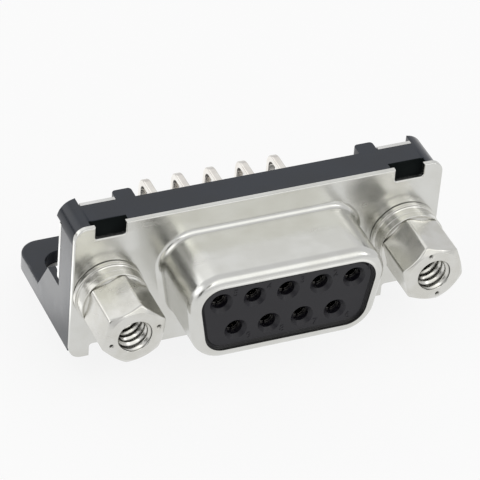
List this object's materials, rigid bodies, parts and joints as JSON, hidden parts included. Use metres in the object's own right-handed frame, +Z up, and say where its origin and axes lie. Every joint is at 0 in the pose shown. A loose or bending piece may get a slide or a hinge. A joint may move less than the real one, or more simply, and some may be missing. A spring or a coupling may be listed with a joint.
{
  "type": "d-sub connector",
  "caption": "Right-angle D-sub socket for a circuit board: drawn metal shell and flange, hex jackscrews, moulded bracket with feet, and bent solder tails.",
  "frame": {"origin": "on the circuit board's surface, midway between the bracket's two board holes", "axes": "+X across the connector to the right seen from the mating side, +Y away from the mating side, +Z up from the board; the socket faces -Y"},
  "size_m": [0.0308, 0.0187, 0.015],
  "materials": {
    "shell_plating": "bright nickel plate on drawn steel",
    "hardware_plating": "nickel plate on turned steel",
    "strap_plating": "tin plate on sheet steel",
    "contact_metal": "tin plated tails",
    "insulator_plastic": "black glass-filled plastic, fine satin",
    "bracket_plastic": "black moulded plastic, satin gloss"
  },
  "bodies": {
    "root": {"front_shell": "shell_plating", "front_insulator": "insulator_plastic", "rear_insulator": "insulator_plastic", "bracket": "bracket_plastic", "contact_1": "contact_metal", "contact_2": "contact_metal", "contact_3": "contact_metal", "contact_4": "contact_metal", "contact_5": "contact_metal", "contact_6": "contact_metal", "contact_7": "contact_metal", "contact_8": "contact_metal", "contact_9": "contact_metal", "ground_strap_left": "strap_plating", "threaded_insert_left": "hardware_plating", "flat_washer_left": "hardware_plating", "lock_washer_left": "hardware_plating", "jackscrew_left": "hardware_plating", "ground_strap_right": "strap_plating", "threaded_insert_right": "hardware_plating", "flat_washer_right": "hardware_plating", "lock_washer_right": "hardware_plating", "jackscrew_right": "hardware_plating"}
  },
  "joints": []
}
